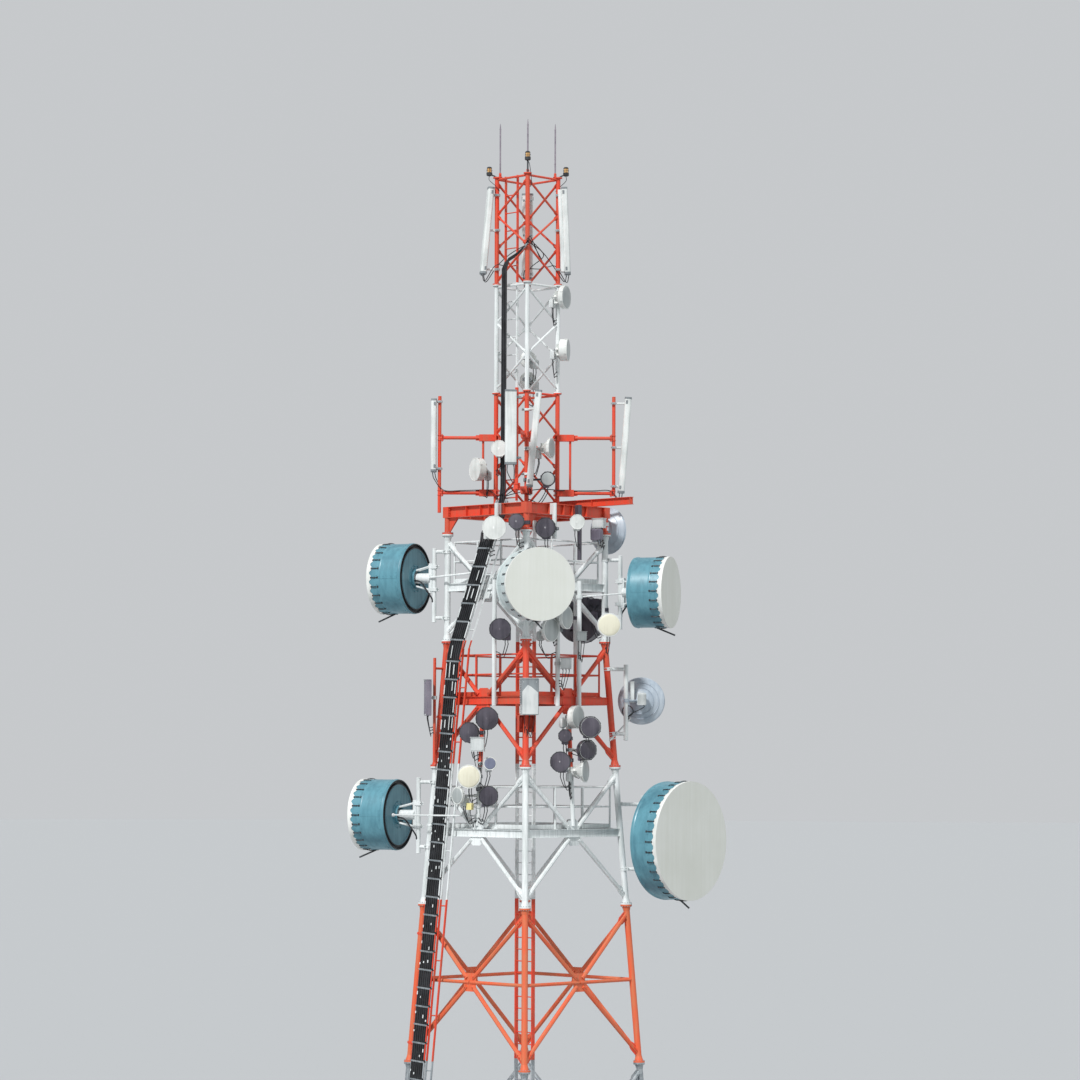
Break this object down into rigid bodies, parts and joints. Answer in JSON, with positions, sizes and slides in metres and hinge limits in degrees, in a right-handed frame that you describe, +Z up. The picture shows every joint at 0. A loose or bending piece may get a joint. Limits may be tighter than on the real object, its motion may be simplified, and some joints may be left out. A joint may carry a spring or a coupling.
{
  "type": "lattice telecommunications tower",
  "caption": "Self-supporting four-legged steel lattice tower in red and white bands, with platforms, a mast, drum dishes, panel antennas, ladders and feeder cables.",
  "frame": {"origin": "on the tower's axis at ground level, the underside of the base plates", "axes": "+Z up; the four legs stand on the X and Y axes, so the tower is seen corner-on along +Y"},
  "size_m": [9.6968, 8.39, 33.4],
  "materials": {
    "galvanised": "satin",
    "red_paint": "satin",
    "white_paint": "satin",
    "drum_shell": "satin",
    "radome": "matte",
    "cable_sheath": "matte",
    "panel_shell": "matte",
    "pale_dish": "satin",
    "dark_dish": "matte",
    "radio_case": "matte",
    "lamp_lens": "gloss"
  },
  "bodies": {
    "root": {"base_plates": "galvanised", "legs_base": "galvanised", "bracing_base": "galvanised", "legs_red_low": "red_paint", "bracing_red_low": "red_paint", "legs_white_low": "white_paint", "bracing_white_low": "white_paint", "legs_red_high": "red_paint", "bracing_red_high": "red_paint", "legs_white_high": "white_paint", "bracing_white_high": "white_paint", "platform_low": "white_paint", "platform_middle": "red_paint", "platform_high": "white_paint", "platform_gratings": "galvanised", "railing_low": "white_paint", "railing_middle": "red_paint", "railing_high": "white_paint", "mast_seat": "red_paint", "mast_red_low": "red_paint", "mast_white": "white_paint", "mast_red_high": "red_paint", "mast_ladder": "white_paint", "access_ladder": "galvanised", "cable_ladder": "galvanised", "feeder_cables": "cable_sheath", "antenna_frame": "red_paint", "sector_panels": "panel_shell", "top_panels": "panel_shell", "lightning_rods": "red_paint", "warning_lamps": "lamp_lens", "drum_upper_left": "drum_shell", "drum_upper_right": "drum_shell", "drum_front": "drum_shell", "drum_lower_left": "drum_shell", "drum_lower_right": "drum_shell", "drum_radomes": "radome", "drum_mounts": "white_paint", "white_poles": "white_paint", "red_poles": "red_paint", "right_dish": "pale_dish", "pale_dishes": "pale_dish", "dark_dishes": "dark_dish", "radio_units": "radio_case"}
  },
  "joints": []
}
